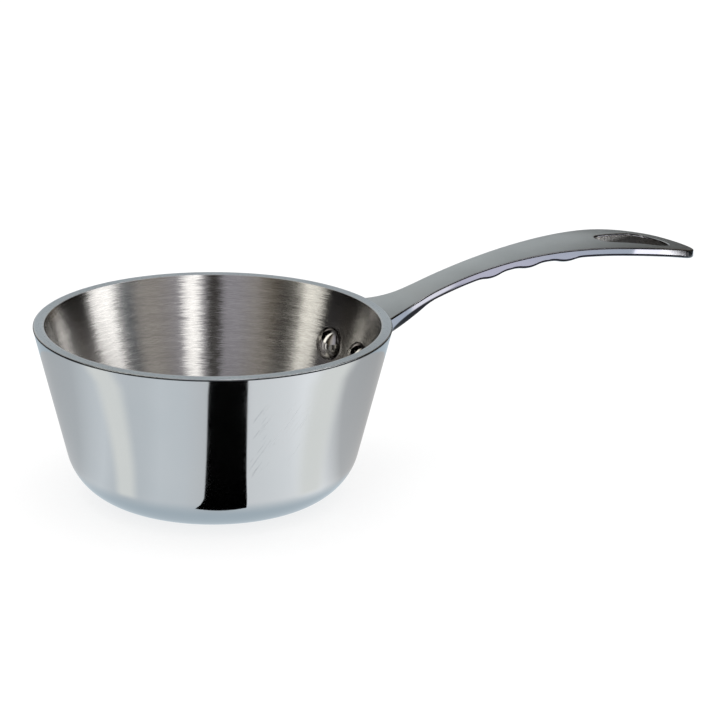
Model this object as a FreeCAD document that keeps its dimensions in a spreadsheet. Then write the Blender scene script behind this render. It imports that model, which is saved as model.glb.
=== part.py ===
"""Small tri-ply steel melting pot with a riveted cast handle.

Frame: Z is the pot's axis, +Z up, z = 0 is the plane the pot stands on, and the handle
points along +X. Lengths are in millimetres and angles in degrees.
"""
import FreeCAD, Part
import math
import os

import Sketcher
from FreeCAD import Vector

TITLE = "melting_pot"
doc = FreeCAD.newDocument(TITLE)

# ---------------------------------------------------------------- sizes
SIZES = {
    # the bowl, measured on its outer face
    "pot_height": 59.0,
    "wall_taper": 14.0,
    "corner_radius": 19.7,
    "base_flat_radius": 29.9,
    "rim_outer_rounding": 0.5,
    "rim_inner_rounding": 0.15,
    # depth of each ply's far face below the outer face
    "skin_depth": 0.75,
    "core_depth": 3.1,
    "liner_depth": 3.7,
    # the two rivets, one each side of the handle's plane
    "rivet_height": 40.4,
    "rivet_azimuth": 10.25,
    "rivet_face_radius": 55.36,
    "shank_radius": 2.5,
    "bore_reach": 12.0,
    "head_radius": 5.5,
    "head_edge": 0.8,
    "head_rise": 3.5,
    "tail_radius": 4.2,
    "tail_edge": 0.5,
    "tail_rise": 2.2,
    "head_gap": 0.3,
    # the flange that the rivets hold against the wall
    "flange_thickness": 3.0,
    "flange_low": 33.2,
    "flange_high": 51.5,
    "flange_sweep": 34.0,
    "flange_corner": 6.0,
    # side view of the handle: a long crown and a short dip into the pot
    "crown_reach": 139.0,
    "crown_height": 67.3,
    "crown_radius": 195.0,
    "dip_reach": 60.0,
    "dip_radius": 60.0,
    "grip_thickness": 3.2,
    "belly_reach": 60.0,
    "belly_height": 49.3,
    "belly_radius": 42.0,
    "shoulder_radius": 35.0,
    "root_reach": 50.0,
    # the three lobes that part the finger rests
    "lobe_first": 106.0,
    "lobe_pitch": 15.5,
    "lobe_radius": 12.0,
    "lobe_rise": 0.9,
    "lobe_blend": 13.0,
    # plan view of the handle
    "root_half_width": 16.2,
    "flare_reach": 86.0,
    "flare_radius": 45.0,
    "neck_half_width": 6.5,
    "waist_reach": 92.0,
    "waist_radius": 300.0,
    "paddle_reach": 170.0,
    "paddle_half_width": 14.3,
    "paddle_radius": 75.0,
    "handle_reach": 197.0,
    # the hanging hole
    "hole_near_reach": 161.7,
    "hole_near_radius": 5.0,
    "hole_far_reach": 177.9,
    "hole_far_radius": 8.6,
    # edge rounding on the handle
    "top_rounding": 0.5,
    "under_rounding": 1.1,
    "hole_rounding": 0.5,
}
LOBES = 3
SIDES = {"left": 1, "right": -1}

sheet = doc.addObject("Spreadsheet::Sheet", "dims")
for row, (name, value) in enumerate(SIZES.items(), start=1):
    sheet.set(f"A{row}", name)
    sheet.set(f"B{row}", str(value))
    sheet.setAlias(f"B{row}", name)
doc.recompute()


def size(name):
    """Value of one named size in the sheet."""
    return float(sheet.get(name))


# ---------------------------------------------------------------- helpers
START, END, CENTRE = 1, 2, 3
H_AXIS, V_AXIS = -1, -2


def origin_item(body, role):
    """The body's own origin plane or axis with this role."""
    return next(item for item in body.Origin.OriginFeatures if item.Role == role)


def new_body(name):
    body = doc.addObject("PartDesign::Body", name)
    body.Label = name
    return body


def new_sketch(body, name, plane):
    sketch = body.newObject("Sketcher::SketchObject", name)
    sketch.AttachmentSupport = [(origin_item(body, plane), "")]
    sketch.MapMode = "FlatFace"
    return sketch


def bind(sketch, constraint, expression):
    """Add a constraint and tie its value to an expression on the sheet."""
    index = sketch.addConstraint(constraint)
    sketch.setExpression(f"Constraints[{index}]", expression)
    return index


def dim(name):
    return f"dims.{name}"


def line(sketch, first, last):
    return sketch.addGeometry(Part.LineSegment(Vector(*first, 0), Vector(*last, 0)), False)


def arc(sketch, centre, radius, start_deg, end_deg):
    """Anticlockwise arc from start to end."""
    circle = Part.Circle(Vector(*centre, 0), Vector(0, 0, 1), radius)
    shape = Part.ArcOfCircle(circle, math.radians(start_deg), math.radians(end_deg))
    return sketch.addGeometry(shape, False)


def join(sketch, *ends):
    """Make pairs of (geometry, point) coincide."""
    for first, last in zip(ends[::2], ends[1::2]):
        sketch.addConstraint(Sketcher.Constraint("Coincident", *first, *last))


def smooth(sketch, *ends):
    """Join pairs of (geometry, point) tangentially."""
    for first, last in zip(ends[::2], ends[1::2]):
        sketch.addConstraint(Sketcher.Constraint("Tangent", *first, *last))


def pin_x(sketch, point, expression):
    """Hold a sketch point at a distance along the sketch's first axis."""
    value = sketch.getPoint(*point).x
    return bind(sketch, Sketcher.Constraint("DistanceX", -1, 1, *point, value), expression)


def pin_y(sketch, point, expression):
    value = sketch.getPoint(*point).y
    return bind(sketch, Sketcher.Constraint("DistanceY", -1, 1, *point, value), expression)


def hold_radius(sketch, item, expression):
    value = sketch.Geometry[item].Radius
    return bind(sketch, Sketcher.Constraint("Radius", item, value), expression)


def level(sketch, *items):
    for item in items:
        sketch.addConstraint(Sketcher.Constraint("Horizontal", item))


def upright(sketch, *items):
    for item in items:
        sketch.addConstraint(Sketcher.Constraint("Vertical", item))


def revolve(body, sketch, name, axis="V_Axis", kind="Revolution", sweep=None):
    """Revolve or groove a sketch, all the way round unless a sweep is named."""
    feature = body.newObject(f"PartDesign::{kind}", name)
    feature.Profile = sketch
    feature.ReferenceAxis = (sketch, [axis])
    feature.Angle = 360.0
    if sweep:
        feature.Midplane = True
        feature.setExpression("Angle", dim(sweep))
    doc.recompute()
    return feature


def extrude(body, sketch, name, kind, length):
    """Pad or pocket a sketch by the same amount to both sides of its plane."""
    feature = body.newObject(f"PartDesign::{kind}", name)
    feature.Profile = sketch
    feature.Midplane = True
    feature.setExpression("Length", length)
    doc.recompute()
    return feature


def round_edges(body, name, radius, wanted):
    """Round every edge of the body's tip that the test accepts."""
    base = body.Tip
    names = [f"Edge{i}" for i, edge in enumerate(base.Shape.Edges, start=1) if wanted(edge)]
    if not names:
        raise RuntimeError(f"{name}: no edge to round")
    feature = body.newObject("PartDesign::Fillet", name)
    feature.Base = (base, names)
    feature.Radius = size(radius)
    feature.setExpression("Radius", dim(radius))
    doc.recompute()
    return feature


# ---------------------------------------------------------------- the bowl's plies
def wall_foot(depth):
    """Where the corner arc of a face at this depth meets the straight wall."""
    tilt = math.radians(size("wall_taper"))
    radius = size("corner_radius") - depth
    reach = size("base_flat_radius") + radius * math.cos(tilt)
    return reach, size("corner_radius") - radius * math.sin(tilt)


def wall_top(depth):
    """Where the wall's face at this depth meets the rim."""
    reach, height = wall_foot(depth)
    rise = size("pot_height") - height
    return reach + rise * math.tan(math.radians(size("wall_taper"))), size("pot_height")


def ply_face(sketch, depth, depth_expression):
    """One face of a ply in section: base line, corner arc and wall line."""
    flat, corner = size("base_flat_radius"), size("corner_radius")
    base = line(sketch, (0, depth), (flat, depth))
    bend = arc(sketch, (flat, corner), corner - depth, -90, -size("wall_taper"))
    wall = line(sketch, wall_foot(depth), wall_top(depth))
    level(sketch, base)
    sketch.addConstraint(Sketcher.Constraint("PointOnObject", base, START, V_AXIS))
    smooth(sketch, (base, END), (bend, START), (bend, END), (wall, START))
    pin_x(sketch, (bend, CENTRE), dim("base_flat_radius"))
    pin_y(sketch, (bend, CENTRE), dim("corner_radius"))
    hold_radius(sketch, bend, f"dims.corner_radius - {depth_expression}")
    slope = math.radians(90 - size("wall_taper"))
    bind(sketch, Sketcher.Constraint("Angle", wall, slope), "(90 - dims.wall_taper) * 1 deg")
    pin_y(sketch, (wall, END), dim("pot_height"))
    return base, wall


def ply(name, near, far):
    """One revolved layer of the bowl between two depths below its outer face."""
    body = new_body(f"{name}_blank")
    sketch = new_sketch(body, f"{name}_section", "XZ_Plane")
    near_depth = size(near) if near else 0.0
    near_base, near_wall = ply_face(sketch, near_depth, dim(near) if near else "0")
    far_base, far_wall = ply_face(sketch, size(far), dim(far))
    rim = line(sketch, wall_top(near_depth), wall_top(size(far)))
    axis = line(sketch, (0, size(far)), (0, near_depth))
    join(sketch, (near_wall, END), (rim, START), (rim, END), (far_wall, END))
    join(sketch, (far_base, START), (axis, START), (axis, END), (near_base, START))
    revolve(body, sketch, f"{name}_turned")
    return body


def is_rim_circle(reach):
    """Test for the full circle of this radius at the top of the bowl."""
    def wanted(edge):
        box = edge.BoundBox
        on_top = abs(box.ZMin - size("pot_height")) < 1e-4 and box.ZLength < 1e-4
        return on_top and abs(box.XMax - reach) < 1e-3
    return wanted


outer_blank = ply("outer_shell", None, "skin_depth")
core_blank = ply("aluminium_core", "skin_depth", "core_depth")
liner_blank = ply("inner_liner", "core_depth", "liner_depth")
round_edges(outer_blank, "rim_outer_edge", "rim_outer_rounding",
            is_rim_circle(wall_top(0.0)[0]))
round_edges(liner_blank, "rim_inner_edge", "rim_inner_rounding",
            is_rim_circle(wall_top(size("liner_depth"))[0]))


# ---------------------------------------------------------------- rivets and their bores
WALL_SKETCH = {
    "AttachmentOffset.Base.x": dim("rivet_face_radius"),
    "AttachmentOffset.Base.y": dim("rivet_height"),
    "AttachmentOffset.Rotation.Angle": "-dims.wall_taper * 1 deg",
}


def wall_sketch(body, name):
    """Sketch whose first axis is the wall's outward normal at a rivet."""
    sketch = new_sketch(body, name, "XZ_Plane")
    sketch.AttachmentOffset = FreeCAD.Placement(
        Vector(size("rivet_face_radius"), size("rivet_height"), 0),
        FreeCAD.Rotation(Vector(0, 0, 1), -size("wall_taper")))
    for path, expression in WALL_SKETCH.items():
        sketch.setExpression(path, expression)
    return sketch


def turn_about_z(item, sign):
    item.Placement = FreeCAD.Placement(Vector(), FreeCAD.Rotation(Vector(0, 0, 1), 1))
    item.setExpression("Placement.Rotation.Angle", f"{sign} * dims.rivet_azimuth * 1 deg")


def bore(side, sign):
    """Tool that drills the wall and the flange square to the wall."""
    body = new_body(f"bore_{side}")
    sketch = wall_sketch(body, f"bore_{side}_section")
    reach, radius = size("bore_reach"), size("shank_radius")
    corners = [(-reach, 0), (reach, 0), (reach, radius), (-reach, radius)]
    sides = [line(sketch, corners[i], corners[(i + 1) % 4]) for i in range(4)]
    for i in range(4):
        join(sketch, (sides[i], END), (sides[(i + 1) % 4], START))
    level(sketch, sides[0], sides[2])
    upright(sketch, sides[1], sides[3])
    sketch.addConstraint(Sketcher.Constraint("PointOnObject", sides[0], START, H_AXIS))
    pin_x(sketch, (sides[0], START), "-dims.bore_reach")
    pin_x(sketch, (sides[0], END), dim("bore_reach"))
    pin_y(sketch, (sides[2], START), dim("shank_radius"))
    revolve(body, sketch, f"bore_{side}_turned", axis="H_Axis")
    turn_about_z(body, sign)
    return body


def dome_sphere(radius, rise):
    """Radius of the sphere whose cap is this wide and this high."""
    return (radius ** 2 + rise ** 2) / (2 * rise)


def rivet(side, sign):
    """Shank with a domed head inside the bowl and a smaller tail on the flange."""
    body = new_body(f"rivet_{side}")
    sketch = wall_sketch(body, f"rivet_{side}_section")
    shank, head, tail = size("shank_radius"), size("head_radius"), size("tail_radius")
    head_foot = size("liner_depth") + size("head_gap")
    head_edge = size("liner_depth") + size("head_edge")
    head_tip = size("liner_depth") + size("head_rise")
    tail_foot = size("flange_thickness")
    tail_edge = size("flange_thickness") + size("tail_edge")
    tail_tip = size("flange_thickness") + size("tail_rise")
    points = [(-head_tip, 0), (tail_tip, 0), (tail_edge, tail), (tail_foot, tail),
              (tail_foot, shank), (-head_foot, shank), (-head_foot, head), (-head_edge, head)]
    axis = line(sketch, points[0], points[1])
    sphere = dome_sphere(tail, tail_tip - tail_edge)
    swing = math.degrees(math.asin(tail / sphere))
    tail_dome = arc(sketch, (tail_tip - sphere, 0), sphere, 0, swing)
    steps = [line(sketch, points[i], points[i + 1]) for i in range(2, 7)]
    sphere = dome_sphere(head, head_tip - head_edge)
    swing = math.degrees(math.asin(head / sphere))
    head_dome = arc(sketch, (sphere - head_tip, 0), sphere, 180 - swing, 180)
    join(sketch, (axis, END), (tail_dome, START), (tail_dome, END), (steps[0], START))
    for first, last in zip(steps, steps[1:]):
        join(sketch, (first, END), (last, START))
    join(sketch, (steps[-1], END), (head_dome, START), (head_dome, END), (axis, START))
    level(sketch, axis, steps[0], steps[2], steps[4])
    upright(sketch, steps[1], steps[3])
    for dome in (tail_dome, head_dome):
        sketch.addConstraint(Sketcher.Constraint("PointOnObject", dome, CENTRE, H_AXIS))
    sketch.addConstraint(Sketcher.Constraint("PointOnObject", axis, START, H_AXIS))
    pin_x(sketch, (axis, START), "-dims.liner_depth - dims.head_rise")
    pin_x(sketch, (axis, END), "dims.flange_thickness + dims.tail_rise")
    pin_x(sketch, (steps[0], START), "dims.flange_thickness + dims.tail_edge")
    pin_x(sketch, (steps[2], START), dim("flange_thickness"))
    pin_x(sketch, (steps[2], END), "-dims.liner_depth - dims.head_gap")
    pin_x(sketch, (steps[4], END), "-dims.liner_depth - dims.head_edge")
    pin_y(sketch, (steps[0], START), dim("tail_radius"))
    pin_y(sketch, (steps[2], START), dim("shank_radius"))
    pin_y(sketch, (steps[4], START), dim("head_radius"))
    revolve(body, sketch, f"rivet_{side}_turned", axis="H_Axis")
    turn_about_z(body, sign)
    return body


bores = [bore(side, sign) for side, sign in SIDES.items()]
rivets = [rivet(side, sign) for side, sign in SIDES.items()]


# ---------------------------------------------------------------- handle, side view
def crown(reach, depth=0.0):
    """Height of the handle's crown arc, or of a face parallel to it."""
    radius = size("crown_radius") - depth
    fall = radius - math.sqrt(radius ** 2 - (reach - size("crown_reach")) ** 2)
    return size("crown_height") - depth - fall


def polar(centre, radius, angle_deg):
    angle = math.radians(angle_deg)
    return centre[0] + radius * math.cos(angle), centre[1] + radius * math.sin(angle)


def bearing(centre, point):
    return math.degrees(math.atan2(point[1] - centre[1], point[0] - centre[0]))


def grip_chain(sketch, start_deg, end_deg):
    """Underside of the grip: stretches parallel to the crown, parted by blended lobes."""
    lobe, blend = size("lobe_radius"), size("lobe_blend")
    lobe_orbit = grip_radius - size("lobe_rise") + lobe
    blend_orbit = grip_radius - blend
    cosine = (lobe_orbit ** 2 + blend_orbit ** 2 - (lobe + blend) ** 2)
    spread = math.degrees(math.acos(cosine / (2 * lobe_orbit * blend_orbit)))
    orbit = "(dims.crown_radius - dims.grip_thickness - dims.lobe_rise + dims.lobe_radius)"
    reaches = [size("lobe_first") + i * size("lobe_pitch") for i in range(LOBES)]
    stretch_start, previous, first = start_deg, None, None
    for index in reversed(range(LOBES)):
        angle = math.degrees(math.acos((reaches[index] - crown_centre[0]) / lobe_orbit))
        centre = polar(crown_centre, lobe_orbit, angle)
        fore = polar(crown_centre, blend_orbit, angle - spread)
        aft = polar(crown_centre, blend_orbit, angle + spread)
        stretch = arc(sketch, crown_centre, grip_radius, stretch_start, angle - spread)
        fore_arc = arc(sketch, fore, blend, angle - spread, bearing(fore, centre))
        lobe_arc = arc(sketch, centre, lobe, bearing(centre, aft), bearing(centre, fore))
        aft_arc = arc(sketch, aft, blend, bearing(aft, centre), angle + spread)
        smooth(sketch, (stretch, END), (fore_arc, START), (fore_arc, END), (lobe_arc, END))
        smooth(sketch, (lobe_arc, START), (aft_arc, START))
        hold_radius(sketch, stretch, "dims.crown_radius - dims.grip_thickness")
        hold_radius(sketch, lobe_arc, dim("lobe_radius"))
        hold_radius(sketch, fore_arc, dim("lobe_blend"))
        hold_radius(sketch, aft_arc, dim("lobe_blend"))
        offset = f"(dims.lobe_first + {index} * dims.lobe_pitch - dims.crown_reach)"
        pin_x(sketch, (lobe_arc, CENTRE), f"dims.lobe_first + {index} * dims.lobe_pitch")
        pin_y(sketch, (lobe_arc, CENTRE),
              f"dims.crown_height - dims.crown_radius + sqrt({orbit}^2 - {offset}^2)")
        if previous is None:
            first = stretch
        else:
            smooth(sketch, (previous, END), (stretch, START))
            join(sketch, (stretch, CENTRE), (first, CENTRE))
        previous, stretch_start = aft_arc, angle + spread
    last = arc(sketch, crown_centre, grip_radius, stretch_start, end_deg)
    smooth(sketch, (previous, END), (last, START))
    join(sketch, (last, CENTRE), (first, CENTRE))
    hold_radius(sketch, last, "dims.crown_radius - dims.grip_thickness")
    return last, first


handle_body = new_body("handle_blank")
profile = new_sketch(handle_body, "handle_side", "XZ_Plane")
crown_centre = (size("crown_reach"), size("crown_height") - size("crown_radius"))

# top: the dip arc hangs above the root and touches the crown arc
swing = math.asin((size("crown_reach") - size("dip_reach"))
                  / (size("crown_radius") + size("dip_radius")))
joint = (size("crown_reach") - size("crown_radius") * math.sin(swing),
         crown_centre[1] + size("crown_radius") * math.cos(swing))
dip_centre = (size("dip_reach"), joint[1] + size("dip_radius") * math.cos(swing))
dip_low = (dip_centre[0], dip_centre[1] - size("dip_radius"))
end_top = (size("handle_reach") + 4, crown(size("handle_reach") + 4))
end_low = (end_top[0], crown(end_top[0], size("grip_thickness")))

# underside: a belly arc rises from the root and meets the grip through a tighter shoulder
grip_radius = size("crown_radius") - size("grip_thickness")
belly_centre = (size("belly_reach"), size("belly_height") + size("belly_radius"))
span = math.dist(belly_centre, crown_centre)
shoulder_orbit = grip_radius - size("shoulder_radius")
shoulder_gap = size("shoulder_radius") + size("belly_radius")
cosine = (shoulder_orbit ** 2 + span ** 2 - shoulder_gap ** 2) / (2 * shoulder_orbit * span)
shoulder_aim = bearing(crown_centre, belly_centre) - math.degrees(math.acos(cosine))
shoulder_centre = polar(crown_centre, shoulder_orbit, shoulder_aim)
grip_start = polar(crown_centre, grip_radius, shoulder_aim)
belly_low = (belly_centre[0], belly_centre[1] - size("belly_radius"))
root_top = (size("root_reach"), dip_low[1])
root_low = (size("root_reach"), belly_low[1])

top_root = line(profile, root_top, dip_low)
top_dip = arc(profile, dip_centre, size("dip_radius"), -90, bearing(dip_centre, joint))
top_crown = arc(profile, crown_centre, size("crown_radius"),
                bearing(crown_centre, end_top), bearing(crown_centre, joint))
end_cap = line(profile, end_top, end_low)
grip, first_stretch = grip_chain(profile, bearing(crown_centre, end_low),
                                 bearing(crown_centre, grip_start))
low_shoulder = arc(profile, shoulder_centre, size("shoulder_radius"),
                   shoulder_aim, bearing(shoulder_centre, belly_centre))
low_belly = arc(profile, belly_centre, size("belly_radius"),
                -90, bearing(belly_centre, shoulder_centre))
low_root = line(profile, belly_low, root_low)
root_cap = line(profile, root_low, root_top)

smooth(profile, (top_root, END), (top_dip, START), (top_dip, END), (top_crown, END))
smooth(profile, (grip, END), (low_shoulder, START), (low_shoulder, END), (low_belly, END))
smooth(profile, (low_belly, START), (low_root, START))
join(profile, (top_crown, START), (end_cap, START), (end_cap, END), (first_stretch, START))
join(profile, (low_root, END), (root_cap, START), (root_cap, END), (top_root, START))
join(profile, (first_stretch, CENTRE), (top_crown, CENTRE))
level(profile, top_root, low_root)
upright(profile, end_cap, root_cap)
pin_x(profile, (top_crown, CENTRE), dim("crown_reach"))
pin_y(profile, (top_crown, CENTRE), "dims.crown_height - dims.crown_radius")
hold_radius(profile, top_crown, dim("crown_radius"))
pin_x(profile, (top_dip, CENTRE), dim("dip_reach"))
hold_radius(profile, top_dip, dim("dip_radius"))
hold_radius(profile, low_shoulder, dim("shoulder_radius"))
pin_x(profile, (low_belly, CENTRE), dim("belly_reach"))
pin_y(profile, (low_belly, START), dim("belly_height"))
hold_radius(profile, low_belly, dim("belly_radius"))
pin_x(profile, (root_cap, START), dim("root_reach"))
pin_x(profile, (end_cap, START), "dims.handle_reach + 4")
extrude(handle_body, profile, "handle_bar", "Pad", "2 * dims.root_half_width + 20")


# ---------------------------------------------------------------- handle, plan view
def plan_corners():
    """Points where the plan outline changes from one curve to the next."""
    neck, waist = size("neck_half_width"), size("waist_radius")
    paddle = size("paddle_radius")
    paddle_centre = (size("paddle_reach"), size("paddle_half_width") - paddle)
    waist_centre = (size("waist_reach"), neck + waist)
    gap = math.dist(paddle_centre, waist_centre)
    line_aim = math.degrees(math.asin((paddle + waist) / gap))
    direction = bearing(waist_centre, paddle_centre)
    slope = direction + line_aim
    paddle_start = polar(paddle_centre, paddle, slope + 90)
    waist_end = polar(waist_centre, waist, slope - 90)
    # the tip circle sits on the handle's centre line and touches the paddle arc from inside
    drop, run = -paddle_centre[1], size("handle_reach") - size("paddle_reach")
    tip_radius = (run ** 2 + drop ** 2 - paddle ** 2) / (2 * (run - paddle))
    tip_centre = (size("handle_reach") - tip_radius, 0)
    tip_start = polar(paddle_centre, paddle, bearing(paddle_centre, tip_centre))
    return waist_centre, waist_end, paddle_centre, paddle_start, tip_centre, tip_radius, tip_start


plan = new_sketch(handle_body, "handle_plan", "XY_Plane")
frame_low, frame_high = size("root_reach") - 10, size("handle_reach") + 20
frame_side = size("root_half_width") + 15
frame_points = [(frame_low, -frame_side), (frame_high, -frame_side),
                (frame_high, frame_side), (frame_low, frame_side)]
frame_lines = [line(plan, frame_points[i], frame_points[(i + 1) % 4]) for i in range(4)]
for i in range(4):
    join(plan, (frame_lines[i], END), (frame_lines[(i + 1) % 4], START))
level(plan, frame_lines[0], frame_lines[2])
upright(plan, frame_lines[1], frame_lines[3])
pin_x(plan, (frame_lines[0], START), "dims.root_reach - 10")
pin_x(plan, (frame_lines[0], END), "dims.handle_reach + 20")
pin_y(plan, (frame_lines[0], START), "-dims.root_half_width - 15")
pin_y(plan, (frame_lines[2], START), "dims.root_half_width + 15")

waist_centre, waist_end, paddle_centre, paddle_start, tip_centre, tip_radius, tip_start = plan_corners()
flare_centre = (size("flare_reach"), size("neck_half_width") + size("flare_radius"))
flare_drop = flare_centre[1] - size("root_half_width")
flare_start = (flare_centre[0] - math.sqrt(size("flare_radius") ** 2 - flare_drop ** 2),
               size("root_half_width"))
ROOT_END = size("root_reach") - 5


def mirrored(point, sign):
    return point[0], sign * point[1]


def mirrored_arc(centre, radius, start, end, sign):
    """Arc from start to end on the +Y side, or its mirror image; returns it and its ends."""
    first, last = bearing(centre, start), bearing(centre, end)
    if sign > 0:
        return arc(plan, centre, radius, first, last), START, END
    return arc(plan, mirrored(centre, sign), radius, -last, -first), END, START


tips, roots = [], []
for sign in SIDES.values():
    straight = line(plan, mirrored((ROOT_END, size("root_half_width")), sign),
                    mirrored(flare_start, sign))
    neck_in = (size("flare_reach"), size("neck_half_width"))
    neck_out = (size("waist_reach"), size("neck_half_width"))
    flare, flare_a, flare_b = mirrored_arc(
        flare_centre, size("flare_radius"), flare_start, neck_in, sign)
    neck = line(plan, mirrored(neck_in, sign), mirrored(neck_out, sign))
    waist, waist_a, waist_b = mirrored_arc(
        waist_centre, size("waist_radius"), neck_out, waist_end, sign)
    taper = line(plan, mirrored(waist_end, sign), mirrored(paddle_start, sign))
    paddle, paddle_b, paddle_a = mirrored_arc(
        paddle_centre, size("paddle_radius"), tip_start, paddle_start, sign)
    join(plan, (straight, END), (flare, flare_a))
    smooth(plan, (flare, flare_b), (neck, START), (neck, END), (waist, waist_a))
    smooth(plan, (waist, waist_b), (taper, START), (taper, END), (paddle, paddle_a))
    level(plan, straight, neck)
    pin_x(plan, (flare, CENTRE), dim("flare_reach"))
    hold_radius(plan, flare, dim("flare_radius"))
    pin_y(plan, (neck, START), f"{sign} * dims.neck_half_width")
    pin_x(plan, (waist, CENTRE), dim("waist_reach"))
    hold_radius(plan, waist, dim("waist_radius"))
    pin_x(plan, (paddle, CENTRE), dim("paddle_reach"))
    pin_y(plan, (paddle, CENTRE), f"{sign} * (dims.paddle_half_width - dims.paddle_radius)")
    hold_radius(plan, paddle, dim("paddle_radius"))
    pin_y(plan, (straight, START), f"{sign} * dims.root_half_width")
    pin_x(plan, (straight, START), "dims.root_reach - 5")
    tips.append((paddle, paddle_b))
    roots.append((straight, START))
tip_swing = bearing(tip_centre, tip_start)
tip_arc = arc(plan, tip_centre, tip_radius, -tip_swing, tip_swing)
smooth(plan, (tip_arc, END), tips[0], (tip_arc, START), tips[1])
tip_run = "(dims.handle_reach - dims.paddle_reach)"
tip_drop = "(dims.paddle_radius - dims.paddle_half_width)"
hold_radius(plan, tip_arc, f"({tip_run}^2 + {tip_drop}^2 - dims.paddle_radius^2)"
                           f" / (2 * ({tip_run} - dims.paddle_radius))")
root_line = line(plan, (ROOT_END, size("root_half_width")), (ROOT_END, -size("root_half_width")))
join(plan, (root_line, START), roots[0], (root_line, END), roots[1])
extrude(handle_body, plan, "handle_outline", "Pocket", "4 * dims.pot_height")

# ---------------------------------------------------------------- handle, hanging hole
near = (size("hole_near_reach"), size("hole_near_radius"))
far = (size("hole_far_reach"), size("hole_far_radius"))
hole_lean = 90 + math.degrees(math.asin((far[1] - near[1]) / (far[0] - near[0])))
hole = new_sketch(handle_body, "hole_outline", "XY_Plane")
near_arc = arc(hole, (near[0], 0), near[1], hole_lean, 360 - hole_lean)
far_arc = arc(hole, (far[0], 0), far[1], -hole_lean, hole_lean)
upper = line(hole, polar((near[0], 0), near[1], hole_lean), polar((far[0], 0), far[1], hole_lean))
lower = line(hole, polar((near[0], 0), near[1], -hole_lean),
             polar((far[0], 0), far[1], -hole_lean))
smooth(hole, (near_arc, START), (upper, START), (upper, END), (far_arc, END))
smooth(hole, (near_arc, END), (lower, START), (lower, END), (far_arc, START))
for item, which in ((near_arc, "near"), (far_arc, "far")):
    hole.addConstraint(Sketcher.Constraint("PointOnObject", item, CENTRE, H_AXIS))
    pin_x(hole, (item, CENTRE), dim(f"hole_{which}_reach"))
    hold_radius(hole, item, dim(f"hole_{which}_radius"))
extrude(handle_body, hole, "hanging_hole", "Pocket", "4 * dims.pot_height")


# ---------------------------------------------------------------- handle, rounded edges
def face_tilts(shape, edge):
    """Vertical part of the outward normal of each face beside an edge, at its middle."""
    middle = edge.valueAt((edge.FirstParameter + edge.LastParameter) / 2)
    tilts = []
    for face in shape.ancestorsOfType(edge, Part.Face):
        tilts.append(face.normalAt(*face.Surface.parameter(middle)).z)
    return sorted(tilts), middle


def in_hole(point):
    low = near[0] - near[1] - 0.1
    high = far[0] + far[1] + 0.1
    return low < point.x < high and abs(point.y) < far[1] + 0.1


def is_rim_of(side_sign, hole_edge):
    """Test for edges between an upright face and the top (+1) or the underside (-1)."""
    def wanted(edge):
        tilts, middle = face_tilts(handle_body.Tip.Shape, edge)
        if len(tilts) < 2 or in_hole(middle) != hole_edge:
            return False
        upright_face = min(abs(tilt) for tilt in tilts) < 0.05
        facing = max(side_sign * tilt for tilt in tilts) > 0.5
        return upright_face and facing and middle.x > size("root_reach") + 0.5
    return wanted


def is_hole_edge(edge):
    """Test for the edges of the hanging hole on both faces of the paddle."""
    return is_rim_of(1, True)(edge) or is_rim_of(-1, True)(edge)


round_edges(handle_body, "hole_edges", "hole_rounding", is_hole_edge)
round_edges(handle_body, "handle_top_edge", "top_rounding", is_rim_of(1, False))
round_edges(handle_body, "handle_low_edge", "under_rounding", is_rim_of(-1, False))

# ---------------------------------------------------------------- flange and its seat
flange = new_sketch(handle_body, "flange_section", "XZ_Plane")
tilt = math.radians(size("wall_taper"))


def wall_reach(height, offset=0.0):
    """Radius of a face parallel to the outer wall, this far outside it, at a height."""
    climb = (height - size("rivet_height")) * math.tan(tilt)
    return size("rivet_face_radius") + climb + offset / math.cos(tilt)


def wall_reach_expression(height, offset):
    return (f"dims.rivet_face_radius + ({height} - dims.rivet_height)"
            f" * tan(dims.wall_taper * 1 deg) + {offset} / cos(dims.wall_taper * 1 deg)")


flange_points = [
    (size("root_reach"), size("flange_low")),
    (wall_reach(size("flange_low"), size("flange_thickness")), size("flange_low")),
    (wall_reach(size("flange_high"), size("flange_thickness")), size("flange_high")),
    (size("root_reach"), size("flange_high")),
]
edges = [line(flange, flange_points[i], flange_points[(i + 1) % 4]) for i in range(4)]
for i in range(4):
    join(flange, (edges[i], END), (edges[(i + 1) % 4], START))
level(flange, edges[0], edges[2])
upright(flange, edges[3])
pin_x(flange, (edges[0], START), dim("root_reach"))
pin_y(flange, (edges[0], START), dim("flange_low"))
pin_y(flange, (edges[2], START), dim("flange_high"))
for end, height in ((START, "dims.flange_low"), (END, "dims.flange_high")):
    pin_x(flange, (edges[1], end), wall_reach_expression(height, "dims.flange_thickness"))
revolve(handle_body, flange, "flange", sweep="flange_sweep")

seat = new_sketch(handle_body, "wall_seat", "XZ_Plane")
seat_low, seat_high = size("flange_low") - 10, size("pot_height") + 20
seat_points = [(0, seat_low), (wall_reach(seat_low), seat_low),
               (wall_reach(seat_high), seat_high), (0, seat_high)]
edges = [line(seat, seat_points[i], seat_points[(i + 1) % 4]) for i in range(4)]
for i in range(4):
    join(seat, (edges[i], END), (edges[(i + 1) % 4], START))
level(seat, edges[0], edges[2])
seat.addConstraint(Sketcher.Constraint("PointOnObject", edges[3], START, V_AXIS))
seat.addConstraint(Sketcher.Constraint("PointOnObject", edges[3], END, V_AXIS))
pin_y(seat, (edges[0], START), "dims.flange_low - 10")
pin_y(seat, (edges[2], START), "dims.pot_height + 20")
for end, height in ((START, "(dims.flange_low - 10)"), (END, "(dims.pot_height + 20)")):
    pin_x(seat, (edges[1], end), wall_reach_expression(height, "0"))
revolve(handle_body, seat, "wall_clearance", kind="Groove")


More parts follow.
